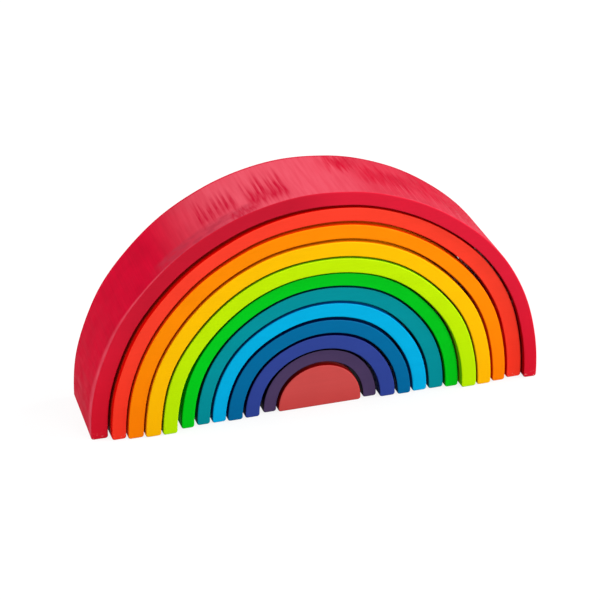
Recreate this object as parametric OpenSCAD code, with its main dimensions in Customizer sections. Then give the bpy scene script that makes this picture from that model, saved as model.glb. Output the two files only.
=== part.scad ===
// Rainbow stacker: eleven wooden arches nested over a half-round core. Every piece is loose and stands on
// its own feet. X runs across the rainbow, Y from the front to the back and Z up from the surface it stands on.

/* [Rainbow] */
// Radius of the half-round core
core_r = 35.5; // [20:0.5:60]
// Thickness of every arch, from its inner curve to its outer one
band_t = 11.9; // [8:0.1:20]
// Saw cut that is left between a piece and the next one out
saw_gap = 1.8; // [1:0.1:4]
// Depth of every piece, from its front face to its back face
depth = 70; // [40:1:120]

/* [Edges and feet] */
// Radius that every edge is sanded to
edge_r = 2; // [0.5:0.1:3]
// Straight part of a foot, from its sanded edge up to the half circle
foot_straight = 0.5; // [0.1:0.1:20]

/* [How the nest stands] */
// How far each piece stands back from the middle of the nest, from the core outwards
set_back = [2.5, 4.5, 1, 0.5, 1.5, 1.5, 0, -4.5, -4, -2.5, -0.5, 0]; // [-6:0.5:6]
// Turn of the outer arch, as a share of the turn at which its ends would touch the next arch
outer_turn = -0.5; // [-0.9:0.1:0.9]

/* [Hidden] */
$fn = 96;

// Height of a foot: the half circles are centred at its top
foot_h = edge_r + foot_straight;
// From the middle of one arch's wood to the middle of the next one's
pitch = band_t + saw_gap;
// Angle that the outer arch is turned by
outer_turn_angle = outer_turn * asin(2 * saw_gap / depth);

// Radius to the middle of the wood of arch number i, where the core is number 0
function arch_r(i) = core_r + i * pitch - band_t / 2;

// Upright face of the wood as the saw leaves it, w wide and h high, with its corners sanded round
module sanded_face(w, h) {
    square([w - 2 * edge_r, h], center = true);
    for (side = [-1, 1]) {
        translate([side * (w - edge_r) / 2, 0])
            square([edge_r, h - 2 * edge_r], center = true);
        for (end = [-1, 1])
            translate([side * (w / 2 - edge_r), end * (h / 2 - edge_r)])
                scale([side, end])
                    sanded_corner();
    }
}

// Quarter of a disc that rounds one corner
module sanded_corner() {
    intersection() {
        circle(edge_r);
        square(edge_r);
    }
}

// Section through the rim of a foot, down from the half circle: straight, then sanded round to the surface
module rim_section() {
    translate([0, -foot_straight])
        square([edge_r, foot_straight]);
    translate([0, -foot_straight])
        scale([1, -1])
            sanded_corner();
}

// One straight side of a foot's rim, centred on X and facing -Y
module rim_side(length) {
    rotate([90, 0, -90])
        linear_extrude(length, center = true)
            rim_section();
}

// Foot of one leg, w wide and down from the half circle, with its upright and lower edges sanded
module foot(w) {
    inner_w = w - 2 * edge_r;
    inner_d = depth - 2 * edge_r;
    translate([-inner_w / 2, -inner_d / 2, -foot_h])
        cube([inner_w, inner_d, foot_h]);
    for (turn = [0, 180])
        rotate([0, 0, turn]) {
            translate([0, -inner_d / 2, 0])
                rim_side(inner_w);
            rotate([0, 0, 90])
                translate([0, -inner_w / 2, 0])
                    rim_side(inner_d);
            for (side = [0, 1])
                mirror([side, 0, 0])
                    translate([inner_w / 2, inner_d / 2, 0])
                        rotate_extrude(angle = 90)
                            rim_section();
        }
}

// Arch number i, counted outwards from the core: half a ring of wood on two feet
module arch(i) {
    translate([0, set_back[i], foot_h]) {
        rotate([90, 0, 0])
            rotate_extrude(angle = 180)
                translate([arch_r(i), 0])
                    sanded_face(band_t, depth);
        for (side = [-1, 1])
            translate([side * arch_r(i), 0, 0])
                foot(band_t);
    }
}

module coral_core() {
    color("#c94a48")
        translate([0, set_back[0], foot_h]) {
            rotate([90, 0, 0])
                rotate_extrude(angle = 180)
                    intersection() {
                        sanded_face(2 * core_r, depth);
                        translate([0, -depth / 2])
                            square([core_r, depth]);
                    }
            foot(2 * core_r);
        }
}

module purple_arch() { color("#4a395d") arch(1); }
module indigo_arch() { color("#2f4292") arch(2); }
module ocean_arch() { color("#04699d") arch(3); }
module sky_arch() { color("#04afe2") arch(4); }
module teal_arch() { color("#04919b") arch(5); }
module green_arch() { color("#04c61c") arch(6); }
module lime_arch() { color("#bee904") arch(7); }
module amber_arch() { color("#fcbf04") arch(8); }
module orange_arch() { color("#fc8a02") arch(9); }
module red_arch() { color("#f83e2a") arch(10); }
module crimson_arch() { color("#d22038") rotate([0, 0, outer_turn_angle]) arch(11); }

coral_core();
purple_arch();
indigo_arch();
ocean_arch();
sky_arch();
teal_arch();
green_arch();
lime_arch();
amber_arch();
orange_arch();
red_arch();
crimson_arch();
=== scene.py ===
"""Looks of the rainbow stacker: eleven arches and a half-round core, sawn from one block of lime and stained.

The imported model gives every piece's place and size. Each piece is modelled again as the hand-sawn thing
that it is: its saw cuts wander a little, its edges are sanded, its flat faces are smooth and its cut faces
keep the marks of the blade.
"""

import logging
import math
from dataclasses import dataclass, field
from enum import Enum
from functools import partial, reduce
from typing import Any, Callable, ClassVar, Optional, Sequence, Union

import bmesh
import bpy
from mathutils import Matrix, Vector

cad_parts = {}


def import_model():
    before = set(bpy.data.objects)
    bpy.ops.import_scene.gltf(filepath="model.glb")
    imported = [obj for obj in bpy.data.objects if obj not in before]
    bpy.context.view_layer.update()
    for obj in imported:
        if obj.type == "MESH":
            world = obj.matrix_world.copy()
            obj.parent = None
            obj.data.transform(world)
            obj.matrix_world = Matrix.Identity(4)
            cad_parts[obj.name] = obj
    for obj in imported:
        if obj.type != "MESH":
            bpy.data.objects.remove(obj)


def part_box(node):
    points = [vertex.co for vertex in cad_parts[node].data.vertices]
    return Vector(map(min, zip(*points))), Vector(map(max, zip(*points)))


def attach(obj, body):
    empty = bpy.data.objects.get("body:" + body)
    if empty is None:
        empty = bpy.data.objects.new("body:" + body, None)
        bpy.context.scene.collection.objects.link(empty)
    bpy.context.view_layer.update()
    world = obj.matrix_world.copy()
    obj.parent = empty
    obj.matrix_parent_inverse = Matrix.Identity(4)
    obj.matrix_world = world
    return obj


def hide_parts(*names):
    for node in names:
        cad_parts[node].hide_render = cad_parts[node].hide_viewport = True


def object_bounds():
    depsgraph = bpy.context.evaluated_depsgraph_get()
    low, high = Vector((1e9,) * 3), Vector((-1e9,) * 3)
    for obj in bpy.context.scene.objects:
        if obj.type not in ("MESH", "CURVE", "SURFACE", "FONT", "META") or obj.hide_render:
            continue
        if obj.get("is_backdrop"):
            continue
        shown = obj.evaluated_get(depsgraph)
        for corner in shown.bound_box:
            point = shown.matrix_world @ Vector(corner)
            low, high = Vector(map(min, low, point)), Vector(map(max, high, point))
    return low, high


LOG = logging.getLogger("rainbow_stacker")

MM = 0.001
WHITE = "#ffffff"

# Points closer than this are one point.
MERGE = 0.001 * MM
# How far off a level something may lie and still count as on it.
LEVEL = 0.01 * MM
# Share of a normal along an axis on a face that is about square to that axis.
SQUARE = 0.9
# A length in millimetres far beyond the depth of the block.
THROUGH = 900.0

# What all nodes of a kind are set to here: a ramp has soft ends, and a mix is one of colours.
SET_TO = {"MapRange": {"interpolation_type": "SMOOTHSTEP"}, "Mix": {"data_type": "RGBA"}}

Object = bpy.types.Object
Node = bpy.types.Node
Value = Union[Node, bpy.types.NodeSocket, float, Sequence[float]]
Adder = Callable[..., Node]
Colour = tuple[float, float, float, float]


class Face(Enum):
    """The two kinds of surface on a piece, by the number of their material slot."""

    SANDED = 0
    SAWN = 1


class Sway(Enum):
    """The ways in which the hand wanders at the saw, by the axis that a cut moves along."""

    ACROSS = "X"
    UPWARDS = "Z"


def linear(hex_colour: str) -> Colour:
    """Turn an sRGB colour into the linear one that a shader takes.

    Args:
        hex_colour: Six hex digits after a hash sign.

    Returns:
        Red, green, blue and an alpha of 1, in linear light.
    """
    parts = [int(hex_colour[i:i + 2], 16) / 255 for i in (1, 3, 5)]
    red, green, blue = (c / 12.92 if c <= 0.04045 else ((c + 0.055) / 1.055) ** 2.4 for c in parts)
    return red, green, blue, 1.0


def add_node(tree: bpy.types.NodeTree, kind: str, inputs: Union[dict[str, Value], Sequence[Value]] = (),
             **settings: Any) -> Node:
    """Add a node to a tree, with its settings, its constants and its links.

    Args:
        tree: The tree that gets the node.
        kind: The node's type, without the word that all shader nodes start with.
        inputs: What goes in, by the inputs' names or in the order of those in use: a constant, an
            output, or a node, which stands for its first output in use.
        settings: Values of the node's own properties.

    Returns:
        The new node.
    """
    node = tree.nodes.new("ShaderNode" + kind)
    for name, value in {**SET_TO.get(kind, {}), **settings}.items():
        setattr(node, name, value)
    if isinstance(inputs, dict):
        pairs = [(node.inputs[name], value) for name, value in inputs.items()]
    else:
        pairs = list(zip((socket for socket in node.inputs if socket.enabled), inputs))
    for socket, value in pairs:
        if isinstance(value, Node):
            value = next(output for output in value.outputs if output.enabled)
        if isinstance(value, bpy.types.NodeSocket):
            tree.links.new(value, socket)
        else:
            socket.default_value = value
    return node


def clear_tree(owner: Union[bpy.types.Material, bpy.types.World]) -> Adder:
    """Give a material or a world an empty tree.

    Args:
        owner: The material or world.

    Returns:
        What adds a node to the tree.
    """
    owner.use_nodes = True
    owner.node_tree.nodes.clear()
    return partial(add_node, owner.node_tree)


def millimetres(add: Adder) -> Node:
    """Give the place on the piece, in millimetres."""
    place = add("TexCoord").outputs["Object"]
    return add("VectorMath", {"Vector": place, "Scale": 1 / MM}, operation="SCALE")


def patches(add: Adder, place: Node, size: Sequence[float], low: float, high: float,
            at: tuple[float, float] = (0.3, 0.7), detail: float = 2.0) -> Node:
    """Spread soft random patches over the piece.

    Args:
        add: Adds a node to the material.
        place: Coordinates in millimetres.
        size: Length of a patch along each axis, in millimetres; an unrolled face has two axes.
        low: Value between the patches.
        high: Value on them.
        at: The two heights of the raw noise that become low and high.
        detail: How much finer structure they have.

    Returns:
        The pattern, from low to high.
    """
    scale = [1 / length for length in (*size, 1.0)[:3]]
    scaled = add("Mapping", {"Vector": place, "Scale": scale})
    raw = add("TexNoise", {"Vector": scaled, "Scale": 1.0, "Detail": detail})
    return add("MapRange", (raw, *at, low, high))


def overlap(add: Adder, *patterns: Node) -> Node:
    """Multiply several patterns."""
    return reduce(lambda first, second: add("Math", (first, second), operation="MULTIPLY"), patterns)


def strongest(add: Adder, *patterns: Node) -> Node:
    """Take the strongest of several patterns at each place."""
    return reduce(lambda first, second: add("Math", (first, second), operation="MAXIMUM"), patterns)


def span(add: Adder, value: Value, low: float, high: float, fade: float) -> Node:
    """Mark where a value lies between two others.

    Args:
        add: Adds a node to the material.
        value: What is looked at.
        low: The lower of the two.
        high: The upper one.
        fade: Range over which the mark fades beyond them.

    Returns:
        1 between the two, and 0 well outside.
    """
    rise = add("MapRange", (value, low - fade, low))
    return overlap(add, rise, add("MapRange", (value, high + fade, high)))


def rounding(add: Adder) -> Node:
    """Follow an edge round from a flat face, where it is 0, to a sawn face, where it is 1."""
    facing = add("SeparateXYZ", (add("TexCoord").outputs["Normal"],)).outputs["Y"]
    return add("MapRange", (add("Math", (facing,), operation="ABSOLUTE"), 0.75, 0.15))


def select_faces(piece: Object, test: Callable[[bmesh.types.BMFace], bool]) -> None:
    """Select, in edit mode, the faces that pass a test, and no others.

    Args:
        piece: The object that is being edited.
        test: Says of a face whether it is wanted.
    """
    bpy.ops.mesh.select_mode(type="FACE")
    bpy.ops.mesh.select_all(action="DESELECT")
    shape = bmesh.from_edit_mesh(piece.data)
    for face in [face for face in shape.faces if test(face)]:
        face.select_set(True)
    bmesh.update_edit_mesh(piece.data)


def apply_modifier(piece: Object, kind: str, **settings: Any) -> None:
    """Put a modifier on a piece and apply it at once.

    Args:
        piece: The object to change, in object mode.
        kind: The modifier's type.
        settings: Values of the modifier's own properties.
    """
    modifier = piece.modifiers.new(kind.lower(), kind)
    for name, value in settings.items():
        setattr(modifier, name, value)
    bpy.context.view_layer.objects.active = piece
    bpy.ops.object.modifier_apply(modifier=modifier.name)


def direction(azimuth: float, elevation: float) -> Vector:
    """Give a direction from the object.

    Args:
        azimuth: Its angle from the front, to the right, in degrees.
        elevation: Its angle above the floor, in degrees.

    Returns:
        The direction, of length 1.
    """
    turn, rise = math.radians(azimuth), math.radians(elevation)
    return Vector((math.sin(turn) * math.cos(rise), -math.cos(turn) * math.cos(rise), math.sin(rise)))


@dataclass(frozen=True)
class Stain:
    """A water stain as it dries on lime wood.

    Attributes:
        name: The colour in a maker's word.
        sanded: Colour on a flat, sanded face.
        sawn: Colour on a sawn face, where the open fibres drink more of it.
        painted_foot_shade: How much painted shade darkens it towards the feet, from 0 to 1.
        chipped: How much of it knocks have taken off the lowest corners, from 0 to 1.
    """

    name: str
    sanded: str
    sawn: str
    painted_foot_shade: float
    chipped: float = 0.0


@dataclass(frozen=True)
class WoodFinish:
    """What the finishes of all stained faces share; lengths in a finish are in millimetres.

    Attributes:
        stain: The stain on the wood.
        radius: Radius of the piece's outer face.
        foot: Height of the middle of its half circle.
        ior: Index of refraction of wood fibre.
        specular: Share of the usual reflection that the open fibres leave.
    """

    stain: Stain
    radius: float
    foot: float
    ior: float = 1.47
    specular: float = 0.04

    def material(self) -> bpy.types.Material:
        """Make the material of this finish; each kind of face has its own."""
        raise NotImplementedError

    def painted_shade_colour(self, share: float, power: float) -> Colour:
        """Give a darker, deeper colour of the stain for painted shade: the stain raised to a power, with only
        a share of its light.
        """
        red, green, blue, alpha = linear(self.stain.sanded)
        return share * red ** power, share * green ** power, share * blue ** power, alpha

    def painted_gap_shade(self) -> Colour:
        """Give the colour of the painted shade on the edges and in the saw cuts, where they lie in the gaps
        between the pieces.
        """
        return self.painted_shade_colour(share=0.75, power=2.2)

    def lay_on(self, add: Adder, colour: Node, roughness: Node, bump: Node) -> None:
        """Put the shader together.

        Args:
            add: Adds a node to the material.
            colour: Colour of the surface.
            roughness: Its roughness.
            bump: Its normals, with the relief of the wood.
        """
        shader = add("BsdfPrincipled", {
            "Base Color": colour, "Roughness": roughness, "Normal": bump, "IOR": self.ior,
            "Specular IOR Level": self.specular})
        add("OutputMaterial", {"Surface": shader})


@dataclass(frozen=True)
class SandedStain(WoodFinish):
    """Lime wood, sanded with fine grit and water stained: even and satin, with the grain just showing.

    Attributes:
        grain_length: Length of a fibre streak along the block.
        grain_width: Width of a fibre streak.
        bare_and_sheen: Colour of the wood in a chip.
    """

    grain_length: float = 60.0
    grain_width: float = 1.1
    bare_and_sheen: str = "#f0b4ac"

    def edge(self, add: Adder, place: Node, stained: Node) -> Node:
        """Paint shade on the sanded edges, which turn into the gaps between the pieces.

        Args:
            add: Adds a node to the material.
            place: Coordinates in millimetres.
            stained: Colour of the flat face.

        Returns:
            The colour of face and edges.
        """
        # Painted shade on the edges, in patches.
        edge_shade = patches(add, place, (12.0, 12.0, 12.0), low=0.6, high=0.9)
        return add("Mix", (overlap(add, rounding(add), edge_shade), stained, self.painted_gap_shade()))

    def material(self) -> bpy.types.Material:
        """Make the finish of the flat faces, the feet and the sanded edges.

        Returns:
            The material.
        """
        material = bpy.data.materials.new(f"sanded_lime_{self.stain.name}_stain")
        add = clear_tree(material)
        place = millimetres(add)
        # The fibres take the stain in fine level streaks, and the block's figure in broad ones.
        grain = (self.grain_length, self.grain_width, self.grain_width)
        figure = (4 * self.grain_length, 8 * self.grain_width, 8 * self.grain_width)
        fibres = patches(add, place, grain, low=0.0, high=1.0, detail=3.0)
        streaks = add("MapRange", (fibres, 0.0, 1.0, 0.985, 1.005))
        bands = patches(add, place, figure, low=0.985, high=1.008)
        clouds = patches(add, place, (22.0, 22.0, 22.0), low=0.975, high=1.012, detail=4.0)
        tone = overlap(add, streaks, bands, clouds)
        even = add("HueSaturation", {"Value": tone, "Color": linear(self.stain.sanded)})
        # Painted shade: the colour grows darker towards the feet.
        height = add("SeparateXYZ", (place,)).outputs["Z"]
        painted_foot_shade = add("MapRange", (height, 0.6 * (self.foot + self.radius), 0.0, 0.0, self.stain.painted_foot_shade))
        stained = add("Mix", (painted_foot_shade, even, self.painted_shade_colour(share=0.97, power=1.25)))
        edged = self.edge(add, place, stained)
        # Knocks have chipped the stain off the lowest corners.
        low = add("MapRange", (height, 7.0, 1.0))
        chips = patches(add, place, (1.6, 1.6, 1.6), low=0.0, high=self.stain.chipped, at=(0.6, 0.7))
        chipped = add("Mix", (overlap(add, low, chips), edged, linear(self.bare_and_sheen)))
        satin = patches(add, place, (14.0, 5.0, 5.0), low=0.42, high=0.54, detail=3.0)
        pores = patches(add, place, (3.0, 0.5, 0.5), low=0.0, high=0.7)
        relief = add("Math", (fibres, pores), operation="ADD")
        bump = add("Bump", {"Strength": 0.4, "Distance": 0.015 * MM, "Height": relief})
        self.lay_on(add, chipped, satin, bump)
        return material


@dataclass(frozen=True)
class HandledSandedStainWithPaintedHighlight(SandedStain):
    """The flat faces of the outer arch, whose outer edge is pale at the front, partly from wear by hands and
    partly painted highlight.

    Attributes:
        pale: Colour of the pale outer front edge, partly wear and partly painted highlight.
    """

    pale: str = "#e8667c"

    def edge(self, add: Adder, place: Node, stained: Node) -> Node:
        """Colour the sanded edges: painted shade at the inner curve and the back, and pale at the outer
        front, partly wear and partly painted highlight.

        Args:
            add: Adds a node to the material.
            place: Coordinates in millimetres.
            stained: Colour of the flat face.

        Returns:
            The colour of face and edges.
        """
        # Painted shade: the face is darker left of the crown.
        sideways = add("SeparateXYZ", (place,)).outputs["X"]
        left = span(add, sideways, low=-135.0, high=-30.0, fade=45.0)
        stained = add("Mix", (left, stained, add("HueSaturation", {"Value": 0.8, "Color": stained})))
        dark = super().edge(add, place, stained)
        # The pale outer front edge, in patches: partly wear and partly painted highlight.
        pale_patches = patches(add, place, (14.0, 14.0, 14.0), low=0.4, high=0.9, at=(0.35, 0.65), detail=3.0)
        rubbed_and_sheen = add("Mix", (overlap(add, rounding(add), pale_patches), stained, linear(self.pale)))
        # The outer edges are those that look away from the middle of the half circle.
        normal = add("TexCoord").outputs["Normal"]
        spoke = add("VectorMath", (place, (1.0, 0.0, 1.0), (0.0, 0.0, -self.foot)), operation="MULTIPLY_ADD")
        away = add("VectorMath", (spoke, normal), operation="DOT_PRODUCT")
        outer = add("MapRange", (away, 0.0, 5.0))
        front = add("MapRange", (add("SeparateXYZ", (normal,)).outputs["Y"], 0.1, -0.1))
        # On the left leg the other edges get little of the painted shade.
        leg = add("MapRange", (sideways, -40.0, -100.0, 0.0, 0.7))
        even = add("Mix", (leg, dark, stained))
        worn_and_sheen = add("Mix", (overlap(add, outer, front), even, rubbed_and_sheen))
        # The right shoulder gets neither the pale wear nor the painted highlight, and keeps its colour to the
        # edge.
        pale_reach = add("MapRange", (sideways, 100.0, 20.0))
        return add("Mix", (pale_reach, add("Mix", (outer, dark, stained)), worn_and_sheen))


@dataclass(frozen=True)
class CutFace:
    """A sawn face, unrolled; lengths are in millimetres.

    Attributes:
        angle: Angle from the right foot, in degrees.
        arc: Length along the cut.
        across: Depth from the middle of the block.
        out: Distance from the middle of the half circle.
        flat: Length along the cut and depth across it as coordinates.
    """

    angle: Node
    arc: Node
    across: Node
    out: Node
    flat: Node


@dataclass(frozen=True)
class SawnStain(WoodFinish):
    """Lime wood as the band saw leaves it, stained: fine blade marks across the cut, on uneven colour.

    Attributes:
        specular: Share of the usual reflection that the torn fibres leave.
        middle: Middle of the piece's depth.
        turn: Angle that the piece stands turned by, about the upright.
        depth: Depth of the block.
        blade_pitch: From one mark of the blade to the next.
    """

    specular: float = 0.006
    middle: float = 0.0
    turn: float = 0.0
    depth: float = 70.0
    blade_pitch: float = 1.2

    def unrolled(self, add: Adder) -> CutFace:
        """Unroll the cut face.

        Args:
            add: Adds a node to the material.

        Returns:
            The unrolled face.
        """
        own = add("VectorRotate", {"Vector": millimetres(add), "Angle": -self.turn}, rotation_type="Z_AXIS")
        parts = add("SeparateXYZ", (own,)).outputs
        rise = add("Math", (parts["Z"], self.foot), operation="SUBTRACT")
        swing = add("Math", (rise, parts["X"]), operation="ARCTAN2")
        arc = add("Math", (swing, self.radius), operation="MULTIPLY")
        across = add("Math", (parts["Y"], self.middle), operation="SUBTRACT")
        spoke = add("CombineXYZ", {"X": parts["X"], "Y": rise})
        out = add("VectorMath", (spoke,), operation="LENGTH")
        flat = add("CombineXYZ", {"X": arc, "Y": across})
        return CutFace(add("Math", (swing,), operation="DEGREES"), arc, across, out, flat)

    def colour(self, add: Adder, cut: CutFace, tone: Node) -> tuple[Node, Optional[Node]]:
        """Stain the cut face, with painted shade near its front and back.

        Args:
            add: Adds a node to the material.
            cut: The unrolled face.
            tone: How much of the light the fibres give back, around 1.

        Returns:
            The colour, and where the stain has pooled if it has.
        """
        stained = add("HueSaturation", {"Value": tone, "Color": linear(self.stain.sawn)})
        # Painted shade: the cut darkens over its first few millimetres behind the front and the back faces,
        # where it lies in the gap between two pieces.
        off_middle = add("Math", (cut.across,), operation="ABSOLUTE")
        ends = add("MapRange", (off_middle, self.depth / 2 - 7.0, self.depth / 2 - 2.0))
        return add("Mix", (ends, stained, self.painted_gap_shade())), None

    def material(self) -> bpy.types.Material:
        """Make the finish of the sawn faces.

        Returns:
            The material.
        """
        material = bpy.data.materials.new(f"sawn_lime_{self.stain.name}_stain")
        add = clear_tree(material)
        cut = self.unrolled(add)
        # The marks of the blade run across the cut from face to face, fine ones over broad ones.
        fine = patches(add, cut.flat, (self.blade_pitch, 70.0), low=0.94, high=1.02)
        broad = patches(add, cut.flat, (5 * self.blade_pitch, 60.0), low=0.94, high=1.02)
        blots = patches(add, cut.flat, (34.0, 26.0), low=0.92, high=1.03, detail=4.0)
        colour, pools = self.colour(add, cut, overlap(add, fine, broad, blots))
        dull = patches(add, cut.flat, (6.0, 14.0), low=0.4, high=0.52, detail=3.0)
        if pools is not None:
            dull = strongest(add, dull, pools)
        relief = add("Math", (fine, broad), operation="ADD")
        self.lay_on(add, colour, dull, add("Bump", {"Strength": 0.6, "Distance": 0.3 * MM, "Height": relief}))
        return material


@dataclass(frozen=True)
class Pool:
    """A place where the stain ran along torn fibres and dried dark, in fingers from the front to the back.

    Attributes:
        angle: Middle of the pool, in degrees from the right foot.
        spread: Half its width, in degrees.
        front: Where it starts, in millimetres behind the front face.
        reach: Where its longest finger ends, in millimetres behind the front face.
        fingers: How dark its fingers are, from 0 to 1.
        mass: How dark it is between the fingers' roots, from 0 to 1.
    """

    angle: float
    spread: float
    front: float
    reach: float
    fingers: float
    mass: float


@dataclass(frozen=True)
class Patch:
    """A patch of the outer cut with soft edges.

    Attributes:
        angles: From where to where it goes round the cut, in degrees from the right foot.
        angle_fade: Angle over which it fades out, in degrees.
        depths: From where to where it goes back, in millimetres behind the front face.
        depth_fade: Depth over which it fades out, in millimetres.
    """

    angles: tuple[float, float]
    angle_fade: float
    depths: tuple[float, float]
    depth_fade: float

    def mark(self, add: Adder, cut: CutFace, behind: Node) -> Node:
        """Mark the patch on the cut, with 1 in it and 0 well outside."""
        along = span(add, cut.angle, *self.angles, self.angle_fade)
        return overlap(add, along, span(add, behind, *self.depths, self.depth_fade))


@dataclass(frozen=True)
class HandledSawnStainWithPaintedSheen(SawnStain):
    """The outer cut: dark pools, painted sheen on the crown, a pale front edge that is partly wear and partly
    painted highlight, a dry foot.

    Attributes:
        pools: Where the stain has pooled.
        sheen_gaps: Where the crown's painted sheen is left out: two blotches, and the shoulder to the right
            of them.
        dusty: The strip by the front edge, left of the crown, that is grey with dust.
        deep: Colour of the stain in a pool.
        rubbed_and_sheen: Colour of the painted sheen on the crown, of the light scratches, and of the pale
            front strip, which is partly wear and partly painted highlight.
        bloom: Colour of the dry bloom.
        dust: Colour where dust has bitten into the stain.
        finger: From one finger of a pool to the next.
    """

    pools: tuple[Pool, ...] = (
        Pool(angle=114.8, spread=5.8, front=9.0, reach=64.0, fingers=0.9, mass=0.5),
        Pool(angle=102.2, spread=5.6, front=0.0, reach=66.0, fingers=1.0, mass=0.9),
        Pool(angle=109.0, spread=4.0, front=-2.0, reach=26.0, fingers=0.3, mass=0.75),
    )
    sheen_gaps: tuple[Patch, ...] = (
        Patch(angles=(66.0, 74.0), angle_fade=8.0, depths=(28.0, 42.0), depth_fade=14.0),
        Patch(angles=(79.5, 83.0), angle_fade=5.0, depths=(50.0, 60.0), depth_fade=14.0),
        Patch(angles=(30.0, 60.0), angle_fade=6.0, depths=(30.0, THROUGH), depth_fade=22.0),
    )
    dusty: Patch = Patch(angles=(111.0, 129.0), angle_fade=8.0, depths=(2.0, 11.0), depth_fade=6.0)
    deep: str = "#b00529"
    rubbed_and_sheen: str = "#cf4b5b"
    bloom: str = "#e2667c"
    dust: str = "#a92c3f"
    finger: float = 4.9

    def pooled(self, add: Adder, pool: Pool, cut: CutFace, behind: Node) -> Node:
        """Draw one pool.

        Args:
            add: Adds a node to the material.
            pool: The pool.
            cut: The unrolled face.
            behind: Depth behind the front face.

        Returns:
            How much of the pool's dark stain shows.
        """
        fade = 0.25 * pool.spread
        half = pool.spread - fade
        window = span(add, cut.angle, pool.angle - half, pool.angle + half, fade)
        # The fingers stand like the teeth of an uneven comb.
        phase = patches(add, cut.flat, (2.5 * self.finger, THROUGH), low=0.0, high=3.0, detail=0.0)
        comb = add("Math", (cut.arc, 2 * math.pi / self.finger, phase), operation="MULTIPLY_ADD")
        fingers = add("MapRange", (add("Math", (comb,), operation="SINE"), -0.9, 0.3, 0.0, pool.fingers))
        length = patches(add, cut.flat, (1.5 * self.finger, THROUGH), low=0.7, high=1.05, detail=0.0)
        root = patches(add, cut.flat, (0.6 * self.finger, THROUGH), low=-4.0, high=6.0)
        past = add("Math", (behind, pool.front), operation="SUBTRACT")
        begun = add("Math", (past, root), operation="SUBTRACT")
        along = add("Math", (begun, pool.reach - pool.front), operation="DIVIDE")
        tip = add("MapRange", (add("Math", (along, length), operation="DIVIDE"), 1.0, 0.4))
        mass = add("MapRange", (along, 0.6, 0.15, 0.0, pool.mass))
        body = strongest(add, overlap(add, fingers, tip), mass)
        ragged = patches(add, cut.flat, (2.2, 16.0), low=0.55, high=1.0, detail=4.0)
        return overlap(add, window, add("MapRange", (along, -0.05, 0.25)), body, ragged)

    def worn_and_sheen(self, add: Adder, cut: CutFace, behind: Node) -> Node:
        """Find where the outer cut is pale: painted sheen on the crown, light scratches, and a front strip
        that is partly wear and partly painted highlight.

        Args:
            add: Adds a node to the material.
            cut: The unrolled face.
            behind: Depth behind the front face.

        Returns:
            How pale the cut is.
        """
        # Painted sheen: the crown is painted pale, fully on its left half and only in streaks on its right.
        left_of_sheen = span(add, cut.angle, low=134.0, high=200.0, fade=24.0)
        bare_and_sheen = add("Math", (1.0, left_of_sheen), operation="SUBTRACT")
        right = add("MapRange", (cut.angle, 88.0, 72.0, 1.0, 0.42))
        sheen_streaks = patches(add, cut.flat, (3.0, 40.0), low=0.75, high=1.0, detail=3.0)
        # The places without the painted sheen are ragged towards the front and the back.
        ends = patches(add, cut.flat, (5.0, THROUGH), low=-10.0, high=10.0, detail=3.0)
        shifted = add("Math", (behind, ends), operation="ADD")
        sheen_gaps = strongest(add, *(patch.mark(add, cut, shifted) for patch in self.sheen_gaps))
        torn = patches(add, cut.flat, (2.5, 30.0), low=0.4, high=1.0, detail=4.0)
        rubbed_and_sheen = add("Math", (1.0, overlap(add, sheen_gaps, torn)), operation="SUBTRACT")
        # Along the back edge the painted sheen fades out.
        rim = add("MapRange", (behind, self.depth - 1.5, self.depth - 4.0, 0.2, 1.0))
        crown_sheen = overlap(add, bare_and_sheen, right, sheen_streaks, rubbed_and_sheen, rim)
        # The right shoulder has light scratches, and the front edge is pale down to the left foot, partly
        # wear and partly painted highlight.
        lines = patches(add, cut.flat, (1.5, 60.0), low=0.0, high=0.7, at=(0.54, 0.63))
        shoulder = span(add, cut.angle, low=40.0, high=72.0, fade=8.0)
        scratched = overlap(add, lines, shoulder, add("MapRange", (behind, 48.0, 12.0, 0.2, 1.0)))
        width = add("MapRange", (cut.angle, 132.0, 178.0, 2.5, 12.0))
        strip = add("MapRange", (add("Math", (behind, width), operation="DIVIDE"), 1.0, 0.25, 0.0, 0.8))
        dabs = patches(add, cut.flat, (12.0, 5.0), low=0.55, high=1.0, detail=3.0)
        return strongest(add, crown_sheen, scratched, overlap(add, strip, dabs))

    def colour(self, add: Adder, cut: CutFace, tone: Node) -> tuple[Node, Optional[Node]]:
        """Stain the outer cut, wear it, and paint sheen and highlight on it.

        Args:
            add: Adds a node to the material.
            cut: The unrolled face.
            tone: How much of the light the fibres give back, around 1.

        Returns:
            The colour, and the dullness of the pools.
        """
        behind = add("Math", (cut.across, self.depth / 2), operation="ADD")
        inside, _ = super().colour(add, cut, tone)
        stained = add("HueSaturation", {"Value": tone, "Color": linear(self.stain.sawn)})
        # Painted sheen on the crown, light scratches, and a pale front strip that is partly wear and partly
        # painted highlight.
        sheened_and_worn = add("Mix", (self.worn_and_sheen(add, cut, behind), stained, linear(self.rubbed_and_sheen)))
        # The end grain near the left foot has a dry, streaked bloom, the more so towards the back.
        streaks = patches(add, cut.flat, (4.0, 40.0), low=0.0, high=0.1, at=(0.45, 0.75), detail=4.0)
        foot = add("MapRange", (cut.angle, 160.0, 174.0))
        back = add("MapRange", (behind, 15.0, 65.0, 0.3, 1.0))
        bloomed = add("Mix", (overlap(add, foot, streaks, back), sheened_and_worn, linear(self.bloom)))
        specks = patches(add, cut.flat, (9.0, 5.0), low=0.35, high=0.95, detail=4.0)
        strip = overlap(add, self.dusty.mark(add, cut, behind), specks)
        dry = add("Mix", (strip, bloomed, linear(self.dust)))
        dark = strongest(add, *(self.pooled(add, pool, cut, behind) for pool in self.pools))
        pooled = add("Mix", (dark, dry, linear(self.deep)))
        # The same arch has a plain cut on its inner side.
        outside = add("MapRange", (cut.out, self.radius - 8.0, self.radius - 4.0))
        return add("Mix", (outside, inside, pooled)), add("MapRange", (dark, 0.0, 0.8, 0.3, 0.85))


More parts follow.
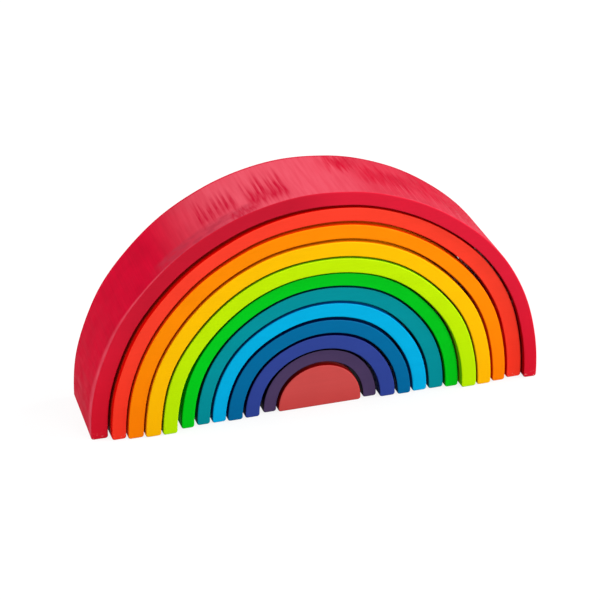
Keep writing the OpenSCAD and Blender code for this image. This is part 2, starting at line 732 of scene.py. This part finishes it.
@dataclass
class Piece:
    """One loose piece of the nest.

    Attributes:
        sanded: Finish of its flat faces, feet and edges.
        sawn: Finish of its sawn faces.
        node: The CAD node that it stands for, and the body that it rides on.
        stain: The stain on it.
        outer_r: Radius of its outer face.
        foot_h: Height of the middle of its half circle.
        depth: From its front face to its back face.
        middle_y: Middle of its depth.
        edge_r: Radius that its edges are sanded to.
        foot_r: Radius that the undersides of its feet are rounded to.
        segments: Number of steps round a sanded edge.
        sharp: Angle between two faces from which the edge between them is sanded.
        step: Length of one step round the half circle.
        least_steps: Least number of these steps.
        turn: Angle that it stands turned by, about the upright.
        outer_off: How far its outer face lies off to the right.
        crown_drop: How much lower than round its outer face is at the crown.
        object: The modelled piece.
    """

    sanded: ClassVar[type[SandedStain]] = SandedStain
    sawn: ClassVar[type[SawnStain]] = SawnStain

    node: str
    stain: Stain
    outer_r: float
    foot_h: float
    depth: float
    middle_y: float
    edge_r: float = 1.1 * MM
    foot_r: float = 2.2 * MM
    segments: int = 4
    sharp: float = math.radians(40)
    step: float = 2.2 * MM
    least_steps: int = 48
    turn: float = 0.0
    outer_off: float = 0.0
    crown_drop: float = 0.0
    object: Optional[Object] = field(default=None, init=False)

    def steps(self) -> int:
        """Count the steps round the half circle."""
        return max(self.least_steps, round(math.pi * self.outer_r / self.step))

    def rough_out(self) -> Object:
        """Saw the piece out of the block, down to the top of its feet; each kind has its own way."""
        raise NotImplementedError

    def lower_crown(self) -> None:
        """Press what is selected down, in edit mode, by what the outer face lacks at the crown."""
        height = 1 - self.crown_drop / self.outer_r
        bpy.ops.transform.resize(value=(1, 1, height), center_override=(0, 0, self.foot_h))

    def build(self, hand: "HandAtTheSaw") -> None:
        """Model the piece, at the origin and with its place in its mesh.

        Args:
            hand: What makes the saw cuts wander.
        """
        bpy.ops.object.select_all(action="DESELECT")
        self.object = self.rough_out()
        self.object.name = self.node.replace("_", "_stained_")
        self.object.data.name = self.object.name
        hand.wander(self.object, self.foot_h)
        self.stand_on_feet()
        self.name_faces()
        self.sand_edges()

    def stand_on_feet(self) -> None:
        """Draw the ends of the half circle down to the floor, and turn the piece the way it stands."""
        bpy.ops.object.mode_set(mode="EDIT")
        top = self.foot_h + LEVEL
        select_faces(self.object, lambda face: face.normal.z < -SQUARE and face.calc_center_median().z < top)
        bpy.ops.mesh.extrude_region_move(TRANSFORM_OT_translate={"value": (0, 0, -self.foot_h)})
        bpy.ops.transform.resize(value=(1, 1, 0), center_override=(0, 0, 0))
        bpy.ops.mesh.select_all(action="SELECT")
        bpy.ops.mesh.remove_doubles(threshold=MERGE)
        bpy.ops.mesh.normals_make_consistent(inside=False)
        self.round_feet()
        if self.turn:
            # With no window the operator turns the other way.
            bpy.ops.transform.rotate(value=-self.turn, orient_axis="Z", center_override=(0, 0, 0))
        bpy.ops.object.mode_set(mode="OBJECT")

    def round_feet(self) -> None:
        """Round the undersides of the feet from side to side, in edit mode."""
        bpy.ops.mesh.select_mode(type="EDGE")
        bpy.ops.mesh.select_all(action="DESELECT")
        shape = bmesh.from_edit_mesh(self.object.data)
        for edge in shape.edges:
            first, last = (vertex.co for vertex in edge.verts)
            edge.select_set(max(first.z, last.z) < LEVEL and abs(first.y - last.y) > self.depth / 2)
        bmesh.update_edit_mesh(self.object.data)
        bpy.ops.mesh.bevel(offset=self.foot_r, segments=self.segments, affect="EDGES")
        bpy.ops.mesh.select_mode(type="FACE")
        bpy.ops.mesh.select_all(action="SELECT")

    def name_faces(self) -> None:
        """Say which faces are sawn and which are sanded."""
        for face in self.object.data.polygons:
            underneath = face.normal.z < -0.1 and face.center.z < self.foot_h
            flat = abs(face.normal.y) > SQUARE or underneath
            face.material_index = (Face.SANDED if flat else Face.SAWN).value

    def sand_edges(self) -> None:
        """Sand every edge round, and let the light run smoothly over it."""
        apply_modifier(self.object, "BEVEL", width=self.edge_r, segments=self.segments, limit_method="ANGLE",
                       angle_limit=self.sharp, material=Face.SANDED.value)
        bpy.ops.object.shade_smooth_by_angle(angle=self.sharp)
        apply_modifier(self.object, "WEIGHTED_NORMAL", mode="FACE_AREA", weight=80)

    def dress(self) -> None:
        """Finish the faces, and let the piece stand for its CAD node."""
        shared = {"stain": self.stain, "radius": self.outer_r / MM, "foot": self.foot_h / MM}
        sawn = self.sawn(**shared, middle=self.middle_y / MM, turn=self.turn, depth=self.depth / MM)
        for finish in (self.sanded(**shared), sawn):
            self.object.data.materials.append(finish.material())
        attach(self.object, self.node)
        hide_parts(self.node)


@dataclass
class Arch(Piece):
    """An arch: half a ring of wood on two feet.

    Attributes:
        inner_r: Radius of its inner face.
        inner_off: How far its inner face lies off to the right.
    """

    inner_r: float = 0.0
    inner_off: float = 0.0

    def rough_out(self) -> Object:
        """Spin the section of the wood round half a circle.

        Returns:
            The half ring, closed at both ends.
        """
        bpy.ops.mesh.primitive_plane_add(size=1.0, location=(0, 0, 0))
        ring = bpy.context.object
        bpy.ops.object.mode_set(mode="EDIT")
        bpy.ops.mesh.select_all(action="SELECT")
        wood = self.outer_r - self.inner_r
        bpy.ops.transform.resize(value=(wood, self.depth, 1.0), center_override=(0, 0, 0))
        bpy.ops.transform.translate(value=((self.outer_r + self.inner_r) / 2, self.middle_y, self.foot_h))
        bpy.ops.mesh.spin(steps=self.steps(), angle=math.pi, center=(0, self.middle_y, self.foot_h),
                          axis=(0, 1, 0))
        bpy.ops.mesh.select_all(action="SELECT")
        bpy.ops.mesh.remove_doubles(threshold=MERGE)
        bpy.ops.mesh.normals_make_consistent(inside=False)
        for side, off in ((-1, self.inner_off), (1, self.outer_off)):
            select_faces(ring, lambda face, side=side: self.faces_out(face) * side > 0.5)
            bpy.ops.transform.translate(value=(off, 0, 0))
        self.lower_crown()
        bpy.ops.object.mode_set(mode="OBJECT")
        return ring

    def faces_out(self, face: bmesh.types.BMFace) -> float:
        """Say how much a face looks away from the middle of the half circle, from -1 to 1."""
        spoke = face.calc_center_median() - Vector((0, 0, self.foot_h))
        return face.normal.dot(Vector((spoke.x, 0, spoke.z)).normalized())


@dataclass
class OuterArch(Arch):
    """The outer arch, whose outer face shows wear from hands, painted sheen and painted highlight."""

    sanded: ClassVar[type[SandedStain]] = HandledSandedStainWithPaintedHighlight
    sawn: ClassVar[type[SawnStain]] = HandledSawnStainWithPaintedSheen


@dataclass
class Core(Piece):
    """The half-round block that is left in the middle."""

    def rough_out(self) -> Object:
        """Cut a round bar in half along its length.

        Returns:
            The half round, closed underneath.
        """
        bpy.ops.mesh.primitive_cylinder_add(vertices=2 * self.steps(), radius=self.outer_r, depth=self.depth,
                                            location=(0, 0, 0), rotation=(math.pi / 2, 0, 0))
        block = bpy.context.object
        bpy.ops.object.transform_apply(location=True, rotation=True, scale=True)
        bpy.ops.object.mode_set(mode="EDIT")
        bpy.ops.mesh.select_all(action="SELECT")
        bpy.ops.transform.translate(value=(self.outer_off, self.middle_y, self.foot_h))
        self.lower_crown()
        bpy.ops.mesh.bisect(plane_co=(0, 0, self.foot_h), plane_no=(0, 0, 1), use_fill=True, clear_inner=True)
        bpy.ops.mesh.select_all(action="SELECT")
        bpy.ops.mesh.normals_make_consistent(inside=False)
        bpy.ops.object.mode_set(mode="OBJECT")
        return block


@dataclass
class HandAtTheSaw:
    """The wander of the saw cuts.

    Every piece takes it from the same field, so that the two sides of a cut keep their distance, and the
    field is the same from front to back, so that a piece still slides out of the next.

    Attributes:
        length: Length of one wander along a cut.
        reach: Width of the band within which a cut wanders.
        calm: Height above the feet within which the hand gets steady.
        straight: Length along the depth over which the field doesn't change.
        across_from: Where in the field the wander to the sides is taken from.
        upwards_from: Where in it the wander up and down is taken from.
    """

    length: float = 100 * MM
    reach: float = 4.1 * MM
    calm: float = 30 * MM
    straight: float = 100.0
    across_from: tuple[float, float, float] = (0.686, 0.0, 3.34)
    upwards_from: tuple[float, float, float] = (0.522, 0.0, 1.192)

    def field(self, sway: Sway) -> tuple[bpy.types.Texture, Object]:
        """Make the field for one way of wandering.

        Args:
            sway: The way.

        Returns:
            The field, and the frame that it is measured in.
        """
        clouds = bpy.data.textures.new(f"wander_{sway.name.lower()}", "CLOUDS")
        clouds.noise_scale = 1.0
        clouds.noise_depth = 1
        frame = bpy.data.objects.new(f"frame_{sway.name.lower()}", None)
        bpy.context.scene.collection.objects.link(frame)
        frame.scale = (self.length, self.straight, self.length)
        frame.location = self.across_from if sway is Sway.ACROSS else self.upwards_from
        bpy.context.view_layer.update()
        return clouds, frame

    def wander(self, piece: Object, foot_h: float) -> None:
        """Move the cuts of a piece off their true circles.

        Args:
            piece: The piece, down to the top of its feet.
            foot_h: Height of its feet.
        """
        free = "free_of_the_floor"
        group = piece.vertex_groups.new(name=free)
        for vertex in piece.data.vertices:
            share = min(1.0, max(0.0, (vertex.co.z - foot_h) / self.calm))
            group.add([vertex.index], share * share * (3 - 2 * share), "REPLACE")
        for sway in Sway:
            clouds, frame = self.field(sway)
            apply_modifier(piece, "DISPLACE", texture=clouds, texture_coords="OBJECT",
                           texture_coords_object=frame, direction=sway.value, strength=self.reach,
                           mid_level=0.5, vertex_group=free if sway is Sway.UPWARDS else "")
            bpy.data.objects.remove(frame)
            bpy.data.textures.remove(clouds)
        piece.vertex_groups.clear()


@dataclass(frozen=True)
class SawCut:
    """One cut of the saw as it is in the nest, where the pieces on its two sides lie loose.

    Attributes:
        width: Its width.
        right: How far it lies off to the right.
        apart: How much further to the right the piece inside it lies than the piece outside.
        tight: How much smaller in radius it came out.
        low: How much lower than round the piece inside it came out at the crown.
    """

    width: float
    right: float = 0.0
    apart: float = 0.0
    tight: float = 0.0
    low: float = 0.0


@dataclass
class Nest:
    """The twelve pieces as they stand in one another.

    Attributes:
        stains: The stains, from the core outwards.
        saw_gap: Width of a saw cut in the CAD.
        cuts: The cuts, from the innermost one outwards.
    """

    stains: tuple[Stain, ...]
    saw_gap: float = 1.8 * MM
    cuts: tuple[SawCut, ...] = (
        SawCut(1.8 * MM, apart=-0.6 * MM, tight=0.8 * MM),
        SawCut(2.9 * MM, apart=1.0 * MM, tight=1.15 * MM),
        SawCut(2.0 * MM),
        SawCut(1.6 * MM, right=-0.5 * MM, apart=-0.4 * MM),
        SawCut(1.8 * MM),
        SawCut(1.9 * MM, right=0.6 * MM, apart=0.6 * MM),
        SawCut(2.8 * MM, apart=1.4 * MM, tight=0.45 * MM),
        SawCut(1.15 * MM, right=-0.2 * MM),
        SawCut(1.6 * MM, right=-0.3 * MM, apart=-0.5 * MM),
        SawCut(1.7 * MM, right=-0.5 * MM, apart=-0.7 * MM),
        SawCut(1.45 * MM, right=0.8 * MM, apart=-0.35 * MM, low=0.5 * MM),
    )

    def pieces(self) -> list[Piece]:
        """Read the pieces' sizes and places from the CAD nodes, and part them along the cuts.

        Returns:
            The pieces, from the core outwards.
        """
        core, *arches = self.stains
        low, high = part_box(f"{core.name}_core")
        outer_r = (high.x - low.x) / 2
        foot_h = high.z - outer_r
        depth = high.y - low.y
        pieces: list[Piece] = [Core(f"{core.name}_core", core, outer_r, foot_h, depth, (low.y + high.y) / 2)]
        first_low, first_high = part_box(f"{arches[0].name}_arch")
        pitch = (first_high.x - first_low.x) / 2 - outer_r
        for stain, cut in zip(arches, self.cuts):
            node = f"{stain.name}_arch"
            low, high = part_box(node)
            middle_r = outer_r + self.saw_gap / 2 - cut.tight
            pieces[-1].outer_r = middle_r - cut.width / 2
            pieces[-1].outer_off = cut.right + cut.apart / 2
            pieces[-1].crown_drop = cut.low
            outer_r += pitch
            kind, turn = Arch, 0.0
            if stain is arches[-1]:
                # The outer arch stands turned in the CAD too, which makes its box deeper than the wood.
                kind, turn = OuterArch, -math.asin((high.y - low.y - depth) / (2 * outer_r))
            pieces.append(kind(node, stain, outer_r, foot_h, depth, (low.y + high.y) / 2, turn=turn,
                               inner_r=middle_r + cut.width / 2, inner_off=cut.right - cut.apart / 2))
        return pieces


@dataclass
class Softbox:
    """A soft lamp that looks at the object.

    Attributes:
        name: Where it stands.
        azimuth: Direction that it stands in, in degrees from the front, to the right.
        elevation: Height of that direction, in degrees.
        radiance: Brightness of its face, where 1 is white.
        size: Width and height of its face.
        distance: Distance from the object.
    """

    name: str
    azimuth: float
    elevation: float
    radiance: float
    size: tuple[float, float] = (1.6, 1.6)
    distance: float = 3.0

    def build(self, target: Vector) -> None:
        """Hang the lamp.

        Args:
            target: The point that it looks at.
        """
        lamp = bpy.data.lights.new(self.name, "AREA")
        lamp.shape = "RECTANGLE"
        lamp.size, lamp.size_y = self.size
        lamp.energy = self.radiance * math.pi * self.size[0] * self.size[1]
        lamp_object = bpy.data.objects.new(self.name, lamp)
        bpy.context.scene.collection.objects.link(lamp_object)
        away = direction(self.azimuth, self.elevation)
        lamp_object.location = target + self.distance * away
        lamp_object.rotation_euler = away.to_track_quat("Z", "Y").to_euler()


@dataclass
class PhotoCamera:
    """The camera, where the photograph was taken from.

    Attributes:
        azimuth: Direction that it stands in, in degrees from the front, to the right.
        elevation: Height of that direction, in degrees.
        roll: Lean of the camera, in degrees.
        distance: Distance from its target.
        target: The point in the middle of its picture.
        focal_px: Focal length in pixels of the picture.
        picture_px: Width of the picture in pixels.
        sensor: Width of its sensor, in millimetres.
    """

    azimuth: float = -18.55
    elevation: float = 28.25
    roll: float = 0.84
    distance: float = 1545 * MM
    target: tuple[float, float, float] = (-19.56 * MM, -36.0 * MM, 100.70 * MM)
    focal_px: float = 2002.0
    picture_px: float = 600.0
    sensor: float = 36.0

    def build(self) -> None:
        """Set the camera up."""
        back = direction(self.azimuth, self.elevation)
        lean = math.radians(self.roll)
        level = Vector((0, 0, 1)).cross(back).normalized()
        right = math.cos(lean) * level + math.sin(lean) * back.cross(level)
        camera = bpy.data.cameras.new("photo_camera")
        camera.sensor_width = self.sensor
        camera.lens = self.focal_px / self.picture_px * self.sensor
        camera_object = bpy.data.objects.new("photo_camera", camera)
        bpy.context.scene.collection.objects.link(camera_object)
        axes = Matrix((right, back.cross(right), back)).transposed().to_4x4()
        camera_object.matrix_world = Matrix.Translation(Vector(self.target) + self.distance * back) @ axes
        bpy.context.scene.camera = camera_object


@dataclass
class Studio:
    """A pale floor, a white surround and soft lamps.

    Attributes:
        sky: Strength of the light from all around.
        floor_size: Side of the floor.
        floor_colour: Colour of the light that the floor gives back to the object.
        whiteness: Share of plain white in what the camera sees of the floor; the rest keeps the shadow.
        lamps: The soft lamps.
    """

    sky: float = 0.25
    floor_size: float = 8.0
    floor_colour: str = "#8c8c8c"
    whiteness: float = 0.85
    lamps: tuple[Softbox, ...] = (
        Softbox("front_softbox", azimuth=28.0, elevation=10.0, radiance=9.2),
        Softbox("left_softbox", azimuth=-97.0, elevation=30.0, radiance=9.6),
        Softbox("right_softbox", azimuth=80.0, elevation=42.0, radiance=9.8),
        Softbox("back_softbox", azimuth=183.0, elevation=31.0, radiance=5.8, size=(1.7, 0.84)),
    )

    def seen(self, add: Adder) -> Node:
        """Tell the rays that see the background from those that light the object.

        Args:
            add: Adds a node to the tree.

        Returns:
            1 for a ray that sees it straight, in a gloss or through glass, and 0 for the others.
        """
        path = add("LightPath").outputs
        gloss = add("Math", (path["Is Camera Ray"], path["Is Glossy Ray"]), operation="MAXIMUM")
        return add("Math", (gloss, path["Is Transmission Ray"]), operation="MAXIMUM")

    def build_surround(self) -> None:
        """Make the world white to look at, and dimmer as a light."""
        world = bpy.data.worlds.new("white_surround")
        add = clear_tree(world)
        light = add("Background", {"Color": linear(WHITE), "Strength": self.sky})
        white = add("Background", {"Color": linear(WHITE), "Strength": 1.0})
        add("OutputWorld", {"Surface": add("MixShader", (self.seen(add), light, white))})
        bpy.context.scene.world = world

    def build_floor(self) -> None:
        """Lay the floor, which looks white but keeps the object's shadow."""
        bpy.ops.object.select_all(action="DESELECT")
        bpy.ops.mesh.primitive_plane_add(size=self.floor_size, location=(0, 0, 0))
        floor = bpy.context.object
        floor.name = "floor"
        material = bpy.data.materials.new("white_paper_roll")
        add = clear_tree(material)
        paper = add("BsdfDiffuse", {"Color": linear(WHITE)})
        white = add("Emission", {"Color": linear(WHITE), "Strength": 1.0})
        looks = add("MixShader", (self.whiteness, paper, white))
        bounce = add("BsdfDiffuse", {"Color": linear(self.floor_colour)})
        add("OutputMaterial", {"Surface": add("MixShader", (self.seen(add), bounce, looks))})
        floor.data.materials.append(material)
        floor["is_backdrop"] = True

    def build(self, middle: Vector) -> None:
        """Set the studio up around the object.

        Args:
            middle: Middle of the object.
        """
        self.build_surround()
        self.build_floor()
        for lamp in self.lamps:
            lamp.build(middle)
        bpy.context.scene.view_settings.view_transform = "Standard"


STAINS = (
    Stain("coral", sanded="#c94a48", sawn="#bf4442", painted_foot_shade=0.35),
    Stain("purple", sanded="#4a395d", sawn="#433355", painted_foot_shade=0.0),
    Stain("indigo", sanded="#2f4292", sawn="#293b88", painted_foot_shade=0.1),
    Stain("ocean", sanded="#00699d", sawn="#005f92", painted_foot_shade=0.25),
    Stain("sky", sanded="#00afe2", sawn="#00a3d8", painted_foot_shade=0.3),
    Stain("teal", sanded="#00919b", sawn="#00868f", painted_foot_shade=0.35),
    Stain("green", sanded="#00ca1c", sawn="#00b81a", painted_foot_shade=0.5),
    Stain("lime", sanded="#bee900", sawn="#b2dd00", painted_foot_shade=0.6),
    Stain("amber", sanded="#fcbf00", sawn="#f4b400", painted_foot_shade=0.75),
    Stain("orange", sanded="#fc8a00", sawn="#f37f00", painted_foot_shade=0.6),
    Stain("red", sanded="#f83e2a", sawn="#ec3724", painted_foot_shade=0.5, chipped=0.4),
    Stain("crimson", sanded="#d91b35", sawn="#c0082b", painted_foot_shade=0.6, chipped=0.7),
)


def main() -> None:
    """Build the nest, the studio and the camera, and log each piece's number of faces."""
    logging.basicConfig(level=logging.INFO, format="%(message)s")
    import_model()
    cad_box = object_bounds()
    hand = HandAtTheSaw()
    for piece in Nest(STAINS).pieces():
        piece.build(hand)
        piece.dress()
        LOG.info("%s: %d faces", piece.object.name, len(piece.object.data.polygons))
    Studio().build((Vector(cad_box[0]) + Vector(cad_box[1])) / 2)
    PhotoCamera().build()


if __name__ == "__main__":
    main()
